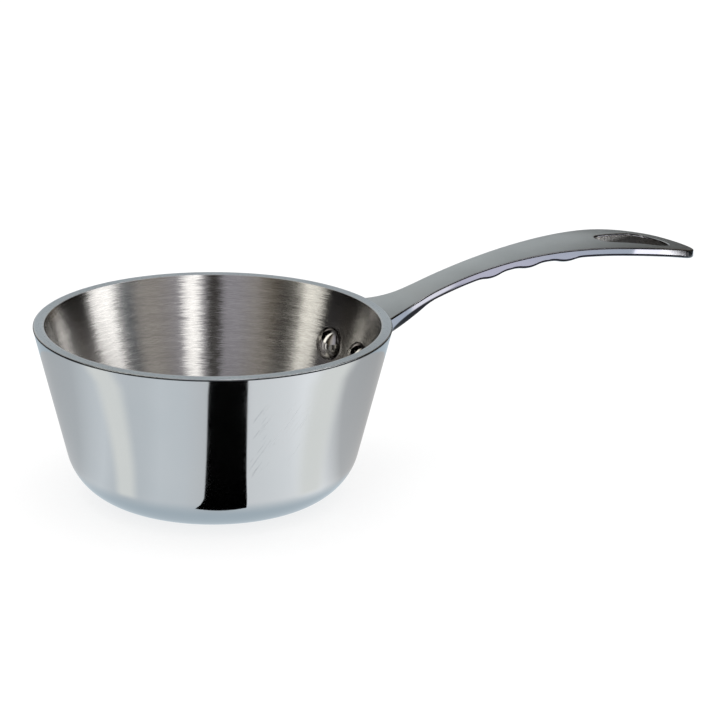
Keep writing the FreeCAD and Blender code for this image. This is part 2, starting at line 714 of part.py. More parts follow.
def is_flange_corner(edge):
    """Test for the two short edges through the flange at its lower corners."""
    box = edge.BoundBox
    through = 2.5 < edge.Length < 4.5 and box.ZLength < 0.01
    at_side = abs(box.Center.y) > size("root_half_width") - 0.5
    return through and at_side and abs(box.Center.z - size("flange_low")) < 0.01


round_edges(handle_body, "flange_low_corners", "flange_corner", is_flange_corner)


# ---------------------------------------------------------------- finished pieces
def combine(name, kind, **links):
    """Boolean of finished bodies: Part::Cut, or Part::MultiFuse."""
    piece = doc.addObject(f"Part::{kind}", name)
    piece.Label = name
    for link, value in links.items():
        setattr(piece, link, value)
    doc.recompute()
    return piece


drill = combine("wall_drill", "MultiFuse", Shapes=bores)
pieces = [
    combine("outer_shell", "Cut", Base=outer_blank, Tool=drill),
    combine("aluminium_core", "Cut", Base=core_blank, Tool=drill),
    combine("inner_liner", "Cut", Base=liner_blank, Tool=drill),
    combine("handle", "Cut", Base=handle_body, Tool=drill),
    *rivets,
]

# ---------------------------------------------------------------- checks and export
doc.recompute()
faults = [item.Label for item in doc.Objects if {"Invalid", "Error"} & set(item.State)]
if faults:
    raise RuntimeError(f"features in error: {faults}")
os.makedirs("parts", exist_ok=True)
for piece in pieces:
    shape = piece.Shape
    if shape.isNull() or not shape.isValid() or len(shape.Solids) != 1:
        raise RuntimeError(f"{piece.Label} is not one valid solid")
    shape.exportStep(f"parts/{piece.Label}.step")
    print(f"{piece.Label}: {shape.Volume / 1000:.2f} cm3, {len(shape.Faces)} faces")
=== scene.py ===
"""Looks of the small riveted tri-ply melting pot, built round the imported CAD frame."""
import math

import bpy
from mathutils import Matrix, Quaternion, Vector, noise


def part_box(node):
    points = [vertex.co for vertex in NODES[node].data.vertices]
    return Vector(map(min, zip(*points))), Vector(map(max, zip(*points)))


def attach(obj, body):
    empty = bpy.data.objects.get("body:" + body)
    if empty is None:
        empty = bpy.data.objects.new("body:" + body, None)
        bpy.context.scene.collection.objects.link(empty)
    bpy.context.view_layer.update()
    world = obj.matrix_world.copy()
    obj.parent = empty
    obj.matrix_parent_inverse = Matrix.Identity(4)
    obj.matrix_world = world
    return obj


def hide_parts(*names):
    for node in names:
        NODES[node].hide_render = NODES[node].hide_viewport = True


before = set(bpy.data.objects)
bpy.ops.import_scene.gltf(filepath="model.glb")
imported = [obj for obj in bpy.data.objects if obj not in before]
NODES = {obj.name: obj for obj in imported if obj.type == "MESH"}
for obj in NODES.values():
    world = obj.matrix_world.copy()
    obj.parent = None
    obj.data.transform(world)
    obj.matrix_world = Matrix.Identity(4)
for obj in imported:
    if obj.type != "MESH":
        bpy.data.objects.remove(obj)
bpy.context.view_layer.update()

MM = 0.001

# ---------------------------------------------------------------- sizes, as in the CAD
RIM_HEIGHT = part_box("outer_shell")[1].z
WALL_TAPER = math.radians(14.0)
CORNER_RADIUS = 19.7 * MM
BASE_FLAT = 29.9 * MM
SKIN, CORE, LINER = 0.75 * MM, 3.1 * MM, 3.7 * MM     # depth of each ply's inner face
RIM_OUTER_ROUNDING = 0.5 * MM
RIM_INNER_ROUNDING = 0.15 * MM
CROWN_REACH, CROWN_RADIUS = 139.0 * MM, 195.0 * MM
CROWN_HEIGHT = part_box("handle")[1].z
HOLE_NEAR, HOLE_NEAR_RADIUS = 161.7 * MM, 5.0 * MM
HOLE_FAR, HOLE_FAR_RADIUS = 177.9 * MM, 8.6 * MM

# ---------------------------------------------------------------- camera's place
CAMERA_HEADING = -29.2          # degrees round the pot from -Y
CAMERA_RISE = 17.49             # degrees above the rim's plane
CAMERA_DISTANCE = 1.0828        # metres from the middle of the rim
CAMERA_TURN = (-2.53, -0.589, -0.06)   # degrees the aim is turned right, down and rolled
LENS = 163.9


def toward(heading, rise=0.0):
    """Unit direction at a heading from the camera, positive to the picture's right."""
    angle = math.radians(CAMERA_HEADING + heading)
    level = math.cos(math.radians(rise))
    return Vector((math.sin(angle) * level, -math.cos(angle) * level, math.sin(math.radians(rise))))


def add_camera():
    back = toward(0, CAMERA_RISE)
    right = toward(90)
    ahead, up = -back, right.cross(-back)
    yaw, pitch, roll = (math.radians(a) for a in CAMERA_TURN)
    for axis_of, angle in ((lambda: up, yaw), (lambda: right, pitch), (lambda: ahead, roll)):
        turn = Quaternion(axis_of(), angle)
        ahead, up, right = turn @ ahead, turn @ up, turn @ right
    data = bpy.data.cameras.new("camera")
    data.lens = LENS
    data.sensor_width = 36.0
    data.clip_start = 0.05
    data.clip_end = 20.0
    camera = bpy.data.objects.new("camera", data)
    basis = Matrix((right, up, -ahead)).transposed()
    place = Vector((0, 0, RIM_HEIGHT)) + back * CAMERA_DISTANCE
    camera.matrix_world = Matrix.Translation(place) @ basis.to_4x4()
    bpy.context.collection.objects.link(camera)
    bpy.context.scene.camera = camera


# ---------------------------------------------------------------- node helpers
class Nodes:
    """Small builder for one material's node tree."""

    def __init__(self, name):
        self.material = bpy.data.materials.new(name)
        self.material.use_nodes = True
        self.tree = self.material.node_tree
        self.shader = self.tree.nodes["Principled BSDF"]

    def node(self, kind, inputs=(), **settings):
        item = self.tree.nodes.new(f"ShaderNode{kind}")
        for key, value in settings.items():
            setattr(item, key, value)
        for key, value in dict(inputs).items():
            self.feed(item.inputs[key], value)
        return item

    def feed(self, socket, value):
        if isinstance(value, bpy.types.NodeSocket):
            self.tree.links.new(value, socket)
        else:
            socket.default_value = value

    def set(self, **values):
        """Feed the shader's sockets; underscores stand for spaces."""
        for key, value in values.items():
            self.feed(self.shader.inputs[key.replace("_", " ")], value)

    def glow_only(self, colour):
        """Make the material a plain light of this colour."""
        glow = self.node("Emission", {"Color": colour, "Strength": 1.0})
        self.tree.links.new(glow.outputs[0], self.tree.nodes["Material Output"].inputs[0])
        self.tree.nodes.remove(self.shader)
        return self.material

    def veil(self, colour, factor):
        """Make the material a light of this colour that fades to nothing with the factor."""
        self.glow_only(colour)
        output = self.tree.nodes["Material Output"].inputs[0]
        glow = output.links[0].from_socket
        item = self.node("MixShader")
        self.feed(item.inputs[0], factor)
        self.tree.links.new(self.node("BsdfTransparent").outputs[0], item.inputs[1])
        self.tree.links.new(glow, item.inputs[2])
        self.tree.links.new(item.outputs[0], output)
        return self.material

    def math(self, operation, *values, clamp=False):
        item = self.node("Math", operation=operation, use_clamp=clamp)
        for socket, value in zip(item.inputs, values):
            self.feed(socket, value)
        return item.outputs[0]

    def product(self, first, *rest):
        for value in rest:
            first = self.math("MULTIPLY", first, value)
        return first

    def vector(self, x, y, z):
        return self.node("CombineXYZ", {"X": x, "Y": y, "Z": z}).outputs[0]

    def coordinates(self):
        return self.node("TexCoord").outputs["Object"]

    def position(self):
        """Place on the object in the row frame, as separate lengths in metres."""
        return self.node("SeparateXYZ", {"Vector": self.coordinates()}).outputs

    def facing(self):
        """Surface normal in the row frame, as separate parts."""
        normal = self.node("TexCoord").outputs["Normal"]
        return self.node("SeparateXYZ", {"Vector": normal}).outputs

    def span(self, value, low, high, to_low=0.0, to_high=1.0, smooth=True):
        """Map a value from one range to another, held at both ends."""
        kind = "SMOOTHSTEP" if smooth else "LINEAR"
        item = self.node("MapRange", interpolation_type=kind)
        for key, number in (("Value", value), ("From Min", low), ("From Max", high),
                            ("To Min", to_low), ("To Max", to_high)):
            self.feed(item.inputs[key], number)
        return item.outputs[0]

    def window(self, value, low, high, edge):
        """One between low and high, fading to nothing over the edge's width outside."""
        return self.math("MULTIPLY", self.span(value, low - edge, low),
                         self.span(value, high, high + edge, 1.0, 0.0))

    def noise(self, vector, scale, detail=4.0, roughness=0.5):
        item = self.node("TexNoise", {"Vector": vector, "Scale": scale, "Detail": detail,
                                      "Roughness": roughness})
        return item.outputs[0]

    def mix(self, factor, first, second):
        item = self.node("Mix", data_type="FLOAT")
        self.feed(item.inputs[0], factor)
        self.feed(item.inputs[2], first)
        self.feed(item.inputs[3], second)
        return item.outputs[0]

    def mix_colour(self, factor, first, second):
        item = self.node("Mix", data_type="RGBA")
        self.feed(item.inputs[0], factor)
        self.feed(item.inputs[6], first)
        self.feed(item.inputs[7], second)
        return item.outputs[2]

    def bump(self, height, depth, strength=1.0, normal=None):
        inputs = {"Height": height, "Distance": depth, "Strength": strength}
        item = self.node("Bump", inputs)
        if normal:
            self.feed(item.inputs["Normal"], normal)
        return item.outputs[0]

    def reach(self, x, y):
        """Distance from the pot's axis."""
        return self.math("SQRT", self.math("ADD", self.product(x, x), self.product(y, y)))

    def heading(self, x, y):
        """Degrees round the axis from -Y, positive towards +X."""
        turn = self.math("ARCTAN2", x, self.math("MULTIPLY", y, -1.0))
        return self.math("MULTIPLY", turn, math.degrees(1.0))

    def tones(self, heading, stops):
        """Colour by heading, blended between (heading, colour) stops in rising order."""
        item = self.node("ValToRGB")
        elements = item.color_ramp.elements
        elements.remove(elements[1])
        for index, (angle, colour) in enumerate(stops):
            place = (angle + 180.0) / 360.0
            element = elements.new(place) if index else elements[0]
            element.position = place
            element.color = (*colour, 1.0)
        self.feed(item.inputs[0], self.span(heading, -180.0, 180.0, smooth=False))
        return item.outputs[0]

    def round_the_pot(self, around, along):
        """Coordinates that stretch a texture round the pot's axis.

        around is how often it varies round the circle and along how often it varies per
        metre from the floor's middle, out along the floor and up the wall.
        """
        x, y, z = self.position()
        reach = self.reach(x, y)
        safe = self.math("MAXIMUM", reach, 1e-4)
        path = self.math("ADD", reach, z)
        return self.vector(self.math("MULTIPLY", self.math("DIVIDE", x, safe), around),
                           self.math("MULTIPLY", self.math("DIVIDE", y, safe), around),
                           self.math("MULTIPLY", path, along))


# ---------------------------------------------------------------- materials of the bowl
def polished_steel():
    """Mirror-polished outer ply: faint polish lines round it, haze and a few scratches."""
    m = Nodes("polished_steel")
    x, y, z = m.position()
    fine = m.noise(m.round_the_pot(9.0, 3200.0), 1.0, 3.0, 0.6)
    broad = m.noise(m.round_the_pot(2.0, 260.0), 1.0, 2.0, 0.5)
    cloud = m.noise(m.coordinates(), 30.0, 3.0)
    # scratches that lean across the front, right of the middle
    arc = m.math("MULTIPLY", m.heading(x, y), 0.95 * MM)
    lean = m.math("ADD", m.math("MULTIPLY", arc, 0.85), m.math("MULTIPLY", z, -0.53))
    run = m.math("ADD", m.math("MULTIPLY", arc, 0.53), m.math("MULTIPLY", z, 0.85))
    hairs = m.noise(m.vector(m.math("MULTIPLY", lean, 2200.0), m.math("MULTIPLY", run, 45.0), 0.0),
                    1.0, 2.0, 0.6)
    patch = m.product(m.window(arc, -13 * MM, 3 * MM, 3 * MM), m.window(z, 26 * MM, 46 * MM, 8 * MM))
    scratches = m.product(m.span(hairs, 0.6, 0.7), patch)
    gloss = m.math("ADD", m.span(fine, 0.35, 0.75, 0.05, 0.075), m.span(cloud, 0.35, 0.7, 0.0, 0.03))
    polish = m.bump(fine, 0.003 * MM, 1.0, m.bump(broad, 0.006 * MM))
    m.set(Metallic=1.0, Roughness=m.math("ADD", gloss, m.math("MULTIPLY", scratches, 0.22)),
          Base_Color=m.mix_colour(m.span(cloud, 0.3, 0.7), (0.515, 0.555, 0.582, 1),
                                  (0.535, 0.57, 0.595, 1)),
          Normal=m.bump(scratches, 0.016 * MM, 1.0, polish))
    return m.material


def ground_rim(name, colour):
    """Rim face of one ply, ground round with very fine lines."""
    m = Nodes(name)
    fine = m.noise(m.round_the_pot(10.0, 9000.0), 1.0, 3.0, 0.65)
    grit = m.noise(m.coordinates(), 900.0, 3.0)
    tone = m.math("ADD", m.math("MULTIPLY", fine, 0.6), m.math("MULTIPLY", grit, 0.4))
    darker = tuple(0.86 * part for part in colour)
    m.set(Metallic=1.0, Base_Color=m.mix_colour(m.span(tone, 0.35, 0.65), (*darker, 1), (*colour, 1)),
          Roughness=m.span(tone, 0.3, 0.7, 0.26, 0.36), Anisotropic=0.85,
          Anisotropic_Rotation=0.25, Normal=m.bump(tone, 0.003 * MM))
    tangent = m.node("Tangent", direction_type="RADIAL", axis="Z")
    m.feed(m.shader.inputs["Tangent"], tangent.outputs[0])
    return m.material


def bonded_aluminium():
    """Body of the core ply, hidden between the two skins."""
    m = Nodes("bonded_aluminium")
    grain = m.noise(m.coordinates(), 700.0, 3.0)
    m.set(Metallic=1.0, Base_Color=(0.62, 0.63, 0.64, 1),
          Roughness=m.span(grain, 0.3, 0.7, 0.35, 0.45), Normal=m.bump(grain, 0.01 * MM))
    return m.material


def brushed_steel():
    """Inner ply, brushed round the bowl in short fine hairs."""
    m = Nodes("brushed_steel")
    fine = m.noise(m.round_the_pot(14.0, 3600.0), 1.0, 3.0, 0.7)
    hairs = m.noise(m.round_the_pot(34.0, 5200.0), 1.0, 2.0, 0.6)
    rows = m.noise(m.round_the_pot(9.0, 5200.0), 1.0, 3.0, 0.7)
    broad = m.noise(m.round_the_pot(1.2, 500.0), 1.0, 2.0, 0.5)
    tone = m.math("ADD", m.math("MULTIPLY", fine, 0.5),
                  m.math("ADD", m.math("MULTIPLY", hairs, 0.3), m.math("MULTIPLY", broad, 0.2)))
    # the brushed grooves throw reflections upwards, so the shading normal leans up a little
    normal = m.node("TexCoord").outputs["Normal"]
    leaning = m.node("VectorMath", {0: normal, 1: (0.0, 0.0, 0.2)}, operation="ADD").outputs[0]
    # each groove also turns a little sideways, which frays the edges of reflected bands
    around = m.node("VectorMath", {0: (0.0, 0.0, 1.0), 1: normal}, operation="CROSS_PRODUCT").outputs[0]
    turn = m.span(rows, 0.2, 0.8, -0.055, 0.055, smooth=False)
    frayed = m.node("VectorMath", {0: around, 1: m.vector(turn, turn, turn)}, operation="MULTIPLY")
    swayed = m.node("VectorMath", {0: leaning, 1: frayed.outputs[0]}, operation="ADD").outputs[0]
    upright = m.node("VectorMath", {0: swayed}, operation="NORMALIZE").outputs[0]
    m.set(Metallic=1.0,
          Base_Color=m.mix_colour(m.span(tone, 0.32, 0.68), (0.48, 0.47, 0.46, 1),
                                  (0.72, 0.71, 0.695, 1)),
          Roughness=m.span(tone, 0.3, 0.7, 0.2, 0.25),
          Anisotropic=1.0, Anisotropic_Rotation=0.25,
          Normal=m.bump(tone, 0.004 * MM, 1.0, upright))
    tangent = m.node("Tangent", direction_type="RADIAL", axis="Z")
    m.feed(m.shader.inputs["Tangent"], tangent.outputs[0])
    return m.material


# ---------------------------------------------------------------- materials of the handle
def cast_steel():
    """Handle casting: satin top with a slight crown, polished sides, rough in the hole; painted shade
    on the top, painted reflections on the sides and edges.
    """
    m = Nodes("cast_steel")
    x, y, z = m.position()
    up = m.facing()[2]
    grain = m.noise(m.coordinates(), 1500.0, 3.0, 0.6)
    cloud = m.noise(m.coordinates(), 45.0, 3.0)
    waves = m.noise(m.coordinates(), 26.0, 1.0)
    top = m.span(up, 0.8, 0.93)
    crown = m.math("MULTIPLY", m.product(y, y), -5.0)
    satin = m.bump(grain, 0.008 * MM, m.mix(top, 0.02, 0.6))
    crowned = m.bump(m.math("ADD", crown, m.math("MULTIPLY", waves, 0.25 * MM)), 1.0, top, satin)
    finish = m.mix(top, m.span(cloud, 0.3, 0.7, 0.07, 0.11), m.span(grain, 0.3, 0.7, 0.3, 0.38))
    # painted reflections on the polished sides: bright streaks near the root and near the tip, and a
    # near-black end at the tip
    painted_highlight_streaks = m.math("MAXIMUM", m.window(x, 76 * MM, 88 * MM, 6 * MM),
                     m.window(x, 178 * MM, 190 * MM, 5 * MM))
    side = m.mix_colour(painted_highlight_streaks, (0.6, 0.6, 0.67, 1), (0.93, 0.93, 0.95, 1))
    side = m.mix_colour(m.span(x, 192 * MM, 195 * MM), side, (0.05, 0.055, 0.09, 1))
    face = m.mix_colour(m.span(cloud, 0.3, 0.7), (0.66, 0.69, 0.69, 1), (0.74, 0.77, 0.77, 1))
    # painted shade: the top face's colour is darker towards -Y and lighter towards +Y
    painted_top_shade = m.span(y, -11 * MM, 9 * MM, 0.84, 1.06)
    face = m.node("VectorMath", {0: face, 1: m.vector(painted_top_shade, painted_top_shade, painted_top_shade)},
                  operation="MULTIPLY").outputs[0]
    # painted reflection: polished roundings mirror the dark of the room, so a thin dark line is painted
    # along every edge
    lines = m.math("MAXIMUM", m.window(up, -0.7, -0.15, 0.08), m.window(up, 0.3, 0.7, 0.08))
    lines = m.product(lines, m.span(x, 64 * MM, 70 * MM))
    # painted reflection: the curved root mirrors the dark floor, so its lower half is painted dark
    # below the bright upper half
    edge_height = m.math("ADD", m.math("MULTIPLY", x, 0.3), 34.15 * MM)
    painted_dark_root_half = m.span(m.math("SUBTRACT", edge_height, z), 1.7 * MM, 2.3 * MM)
    root = m.product(painted_dark_root_half, m.span(x, 61 * MM, 64 * MM), m.span(x, 88 * MM, 98 * MM, 1.0, 0.0),
                     m.math("SUBTRACT", 1.0, top))
    lines = m.math("MAXIMUM", lines, root)
    colour = m.mix_colour(lines, m.mix_colour(top, side, face), (0.03, 0.03, 0.035, 1))
    m.set(Metallic=1.0, Roughness=finish, Base_Color=colour, Normal=crowned)
    return m.material


def rough_casting():
    """Unpolished wall of the hanging hole, with painted shadow over its lower part."""
    m = Nodes("rough_casting")
    lumps = m.noise(m.coordinates(), 420.0, 5.0, 0.7)
    specks = m.noise(m.coordinates(), 1300.0, 3.0, 0.6)
    # painted shadow: the wall's colour goes near-black towards its lower part
    height = m.span(m.position()[2], 61.8 * MM, 64.2 * MM)
    cast = m.mix_colour(m.span(specks, 0.35, 0.65), (0.2, 0.185, 0.17, 1), (0.6, 0.58, 0.55, 1))
    m.set(Metallic=1.0, Roughness=m.span(lumps, 0.35, 0.65, 0.5, 0.22),
          Base_Color=m.mix_colour(height, (0.07, 0.065, 0.06, 1), cast),
          Normal=m.bump(specks, 0.12 * MM, 1.0, m.bump(lumps, 0.5 * MM)))
    return m.material


def rivet_steel(node):
    """Rivet steel; the steep edge of the domed head is painted dark against its light crown, a painted
    reflection.
    """
    m = Nodes(f"{node}_steel")
    low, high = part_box(node)
    heading = math.atan2(low.y + high.y, low.x + high.x)
    axis = (-math.cos(heading) * math.cos(WALL_TAPER), -math.sin(heading) * math.cos(WALL_TAPER),
            math.sin(WALL_TAPER))
    normal = m.node("TexCoord").outputs["Normal"]
    crown_part = m.node("VectorMath", {0: normal, 1: axis}, operation="DOT_PRODUCT").outputs["Value"]
    marks = m.noise(m.coordinates(), 900.0, 3.0, 0.6)
    dents = m.noise(m.coordinates(), 300.0, 2.0)
    # painted reflection: near-black where the normal turns away from the rivet's axis; the tails,
    # facing outwards, come out near-black too
    m.set(Metallic=1.0, Base_Color=m.mix_colour(m.span(crown_part, 0.6, 0.8), (0.05, 0.045, 0.04, 1),
                                                (0.7, 0.685, 0.665, 1)),
          Roughness=m.span(marks, 0.3, 0.7, 0.07, 0.15),
          Normal=m.bump(marks, 0.004 * MM, 1.0, m.bump(dents, 0.05 * MM)))
    return m.material


# ---------------------------------------------------------------- pieces of the bowl
def mesh_object(name, points, faces, materials):
    mesh = bpy.data.meshes.new(name)
    mesh.from_pydata(points, [], faces)
    for material in materials:
        mesh.materials.append(material)
    piece = bpy.data.objects.new(name, mesh)
    bpy.context.collection.objects.link(piece)
    return piece


def ply_side(depth, rim_cut=0.0, steps=24):
    """Section of a ply's face at this depth, from the axis out and up towards the rim."""
    radius = CORNER_RADIUS - depth
    points = [(BASE_FLAT * part / 6, depth) for part in range(6)]
    for step in range(steps + 1):
        angle = (math.pi / 2 - WALL_TAPER) * step / steps
        points.append((BASE_FLAT + radius * math.sin(angle),
                       CORNER_RADIUS - radius * math.cos(angle)))
    reach, height = points[-1]
    top = RIM_HEIGHT - rim_cut
    for step in range(1, 9):
        rise = (top - height) * step / 8
        points.append((reach + rise * math.tan(WALL_TAPER), height + rise))
    return points


def rounded_rim(wall_point, inward, radius, steps=6):
    """Arc from a wall's end over to the flat of the rim; inward is +1 or -1 along the reach."""
    turn = math.pi / 2 - inward * WALL_TAPER
    edge = radius * math.tan(turn / 2)
    rim = wall_point[0] + edge * math.sin(WALL_TAPER)
    centre = (rim + inward * edge, RIM_HEIGHT - radius)
    points = []
    for step in range(steps + 1):
        angle = turn * (1 - step / steps)
        points.append((centre[0] - inward * radius * math.sin(angle),
                       centre[1] + radius * math.cos(angle)))
    return points


def turned_ply(name, near, far, finishes, near_round=0.0, far_round=0.0, segments=360):
    """Closed ply turned about Z.

    Its walls take the first finish, the rim's faces the second and the rim's outer edge the third, a
    painted dark reflection.
    """
    def side(depth, radius, inward):
        if not radius:
            return ply_side(depth), []
        turn = math.pi / 2 - inward * WALL_TAPER
        cut = radius * math.tan(turn / 2) * math.cos(WALL_TAPER)
        wall = ply_side(depth, cut)
        return wall, rounded_rim(wall[-1], inward, radius)[1:]

    outside, outer_arc = side(near, near_round, -1)
    inside, inner_arc = side(far, far_round, 1)
    wall_end = len(outside) - 1
    section = outside + outer_arc + inner_arc[::-1] + inside[::-1]
    rim_end = len(outside) + len(outer_arc) + len(inner_arc)
    edge_end = wall_end + len(outer_arc) // 2
    points, faces, finish_of = [], [], []
    ring_starts = []
    for reach, height in section:
        ring_starts.append(len(points))
        if reach == 0.0:
            points.append((0.0, 0.0, height))
            continue
        for step in range(segments):
            angle = 2 * math.pi * step / segments
            points.append((reach * math.cos(angle), reach * math.sin(angle), height))
    for row in range(len(section) - 1):
        low, high = ring_starts[row], ring_starts[row + 1]
        for step in range(segments):
            after = (step + 1) % segments
            if section[row][0] == 0.0:
                face = (low, high + after, high + step)
            elif section[row + 1][0] == 0.0:
                face = (low + step, low + after, high)
            else:
                face = (low + step, low + after, high + after, high + step)
            faces.append(face)
            finish_of.append(2 if wall_end <= row < edge_end else int(wall_end <= row < rim_end))
    piece = mesh_object(name, points, faces, finishes)
    for polygon, finish in zip(piece.data.polygons, finish_of):
        polygon.material_index = finish
        polygon.use_smooth = True
    piece.data.set_sharp_from_angle(angle=math.radians(40))
    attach(piece, "root")
    return piece


def add_bowl():
    """The three plies, each in place of its CAD node."""
    rim_skin = ground_rim("rim_of_skin", (0.9, 0.95, 0.98))
    rim_core = ground_rim("rim_of_core", (0.75, 0.81, 0.85))
    rim_liner = ground_rim("rim_of_liner", (0.85, 0.88, 0.9))
    # painted reflection: the lower half of the skin's outer rim rounding is near-black, standing in for
    # the dark it mirrors
    rim_edge_painted_dark = ground_rim("rim_edge_painted_dark", (0.06, 0.065, 0.07))
    plies = (
        ("pot_skin", "outer_shell", "polished_steel", 0.0, SKIN,
         (polished_steel(), rim_skin, rim_edge_painted_dark), RIM_OUTER_ROUNDING, 0.0),
        ("pot_core", "aluminium_core", "bonded_aluminium", SKIN, CORE,
         (bonded_aluminium(), rim_core), 0.0, 0.0),
        ("pot_liner", "inner_liner", "brushed_steel", CORE, LINER,
         (brushed_steel(), rim_liner), 0.0, RIM_INNER_ROUNDING),
    )
    for name, node, slot, near, far, finishes, near_round, far_round in plies:
        piece = turned_ply(name, near, far, finishes, near_round, far_round)
        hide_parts(node)


# ---------------------------------------------------------------- hole's cast wall
def crown(reach):
    """Height of the handle's top face at this distance along the handle."""
    fall = CROWN_RADIUS - math.sqrt(CROWN_RADIUS ** 2 - (reach - CROWN_REACH) ** 2)
    return CROWN_HEIGHT - fall


def hole_outline(count=64):
    """Points round the hanging hole with their outward directions."""
    lean = math.pi / 2 + math.asin((HOLE_FAR_RADIUS - HOLE_NEAR_RADIUS) / (HOLE_FAR - HOLE_NEAR))
    outline = []
    for step in range(count):
        angle = -lean + 2 * lean * step / (count - 1)
        outline.append((HOLE_FAR, HOLE_FAR_RADIUS, angle))
    for step in range(1, 20):
        part = step / 20
        outline.append((HOLE_FAR + (HOLE_NEAR - HOLE_FAR) * part,
                        HOLE_FAR_RADIUS + (HOLE_NEAR_RADIUS - HOLE_FAR_RADIUS) * part, lean))
    for step in range(count // 2):
        angle = lean + (2 * math.pi - 2 * lean) * step / (count // 2 - 1)
        outline.append((HOLE_NEAR, HOLE_NEAR_RADIUS, angle))
    for step in range(1, 20):
        part = step / 20
        outline.append((HOLE_NEAR + (HOLE_FAR - HOLE_NEAR) * part,
                        HOLE_NEAR_RADIUS + (HOLE_FAR_RADIUS - HOLE_NEAR_RADIUS) * part, -lean))
    return outline


def add_hole_boss():
    """Rough cast collar round the hanging hole, standing a little below the underside."""
    # (how far outside the hole's wall, how far below the top face) round the section
    top, bottom, width = 0.62 * MM, 3.7 * MM, 1.9 * MM
    rows = 12
    section = [(-0.06 * MM, top + (bottom - 0.3 * MM - top) * i / (rows - 1)) for i in range(rows)]
    section += [(0.05 * MM, bottom - 0.1 * MM), (0.3 * MM, bottom), (width - 0.5 * MM, bottom),
                (width - 0.1 * MM, bottom - 0.2 * MM), (width, bottom - 0.6 * MM), (width, 2.2 * MM),
                (0.6 * MM, top + 0.3 * MM)]
    outline = hole_outline()
    points, faces = [], []
    for middle, radius, angle in outline:
        across = Vector((math.cos(angle), math.sin(angle)))
        for index, (out, depth) in enumerate(section):
            place = across * (radius + out) + Vector((middle, 0))
            height = crown(place.x) - depth
            if 0 < index < rows:
                rough = noise.noise(Vector((place.x, place.y, height)) * 700.0)
                rough += 0.5 * noise.noise(Vector((place.x, place.y, height)) * 1600.0)
                place -= across * (0.12 * MM * (0.4 + rough))
            points.append((place.x, place.y, height))
    size, count = len(section), len(outline)
    for column in range(count):
        after = (column + 1) % count
        for row in range(size):
            below = (row + 1) % size
            faces.append((column * size + row, column * size + below,
                          after * size + below, after * size + row))
    piece = mesh_object("hole_boss", points, faces, (rough_casting(),))
    for polygon in piece.data.polygons:
        polygon.use_smooth = True
    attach(piece, "root")


# ---------------------------------------------------------------- studio
def stage_piece(name, points, faces, material):
    """Studio card in the camera's frame, -Y towards the camera; only mirrors see it."""
    card = mesh_object(name, points, faces, (material,))
    card.rotation_euler.z = math.radians(CAMERA_HEADING)
    card.visible_camera = False
    card.visible_diffuse = False
    card.visible_shadow = False
    card.visible_transmission = False


def floor_sector(name, left, right, near, far, material, height=0.2 * MM):
    """Part of a ring on the floor between two headings and two distances."""
    steps = max(2, round((right - left) / 5))
    points, faces = [], []
    for step in range(steps + 1):
        angle = math.radians(left + (right - left) * step / steps)
        for reach in (near, far):
            points.append((reach * math.sin(angle), -reach * math.cos(angle), height))
        if step:
            last = len(points)
            faces.append((last - 4, last - 3, last - 1, last - 2))
    stage_piece(name, points, faces, material)


def floor_patch(name, corners, material, height):
    """Flat card on the floor; each corner is a heading in degrees and a distance in millimetres."""
    points = []
    for heading, reach in corners:
        angle = math.radians(heading)
        points.append((reach * MM * math.sin(angle), -reach * MM * math.cos(angle), height))
    stage_piece(name, points, [tuple(range(len(points)))], material)


def finger_card(name, sign, centres, halves):
    """Soft streak on the floor; headings and half widths run from its near to its far end."""
    m = Nodes(name)
    x, y = m.position()[:2]
    reach = m.reach(x, y)
    centre = m.span(reach, 50 * MM, 150 * MM, *centres, smooth=False)
    half = m.span(reach, 50 * MM, 150 * MM, *halves, smooth=False)
    away = m.math("ABSOLUTE", m.math("SUBTRACT", m.math("MULTIPLY", m.heading(x, y), sign), centre))
    soft = m.span(m.math("DIVIDE", away, half), 0.3, 1.25, 1.0, 0.0)
    soft = m.product(soft, m.span(reach, 50 * MM, 56 * MM))
    left, right = sorted((sign * 25, sign * 115))
    floor_sector(name, left, right, 50 * MM, 150 * MM, m.veil((1.12, 1.09, 1.03, 1), soft), 0.45 * MM)


def plain(name, colour):
    """Card material of one even colour."""
    return Nodes(name).glow_only((*colour, 1.0))


# reflected tones round the horizon: a softbox each side, a strip by the camera, dark gaps
BLACK = (0.0, 0.0, 0.0)
SMOKE = (0.03, 0.026, 0.022)
SLATE = (0.05, 0.065, 0.085)
LAVENDER = (0.42, 0.41, 0.45)
WARM_GREY = (0.4, 0.375, 0.35)
BROWN = (0.15, 0.125, 0.095)
WHITE = (2.0, 1.98, 1.95)
WARM_WHITE = (1.45, 1.42, 1.3)
BACKDROP = (0.45, 0.47, 0.48)
HORIZON_TONES = (
    (-180, BACKDROP), (-166, BACKDROP), (-158, WARM_GREY), (-142, WARM_GREY), (-136, BLACK),
    (-90, BLACK), (-86, WARM_WHITE), (-72, WARM_WHITE), (-68, SMOKE), (-55, SMOKE),
    (-46, BROWN), (-36, WARM_GREY), (-20, LAVENDER), (-8, LAVENDER), (-5, SMOKE), (3, SMOKE),
    (8, LAVENDER), (13, WHITE), (21, WHITE), (26, LAVENDER), (45, WARM_GREY), (60, WARM_GREY),
    (64, SLATE), (75, SLATE), (80, WHITE), (97, WHITE), (102, BLACK),
    (134, BLACK), (141, BROWN), (150, BROWN), (158, SMOKE), (170, BACKDROP),
)
# tones of the floor near the pot, which its outside mirrors
FLOOR_TONES = (
    (-180, 0.55), (-120, 0.6), (-91, 0.68), (-76, 0.85), (-65, 0.95), (-55, 0.87), (-46, 0.84),
    (-37, 0.86), (-28, 0.92), (-15, 0.89), (0, 0.8), (15, 1.0), (27, 1.05), (42, 1.13),
    (51, 1.24), (60, 1.24), (71, 0.97), (83, 0.66), (120, 0.55), (180, 0.55),
)
SURROUND_REACH = 2.2


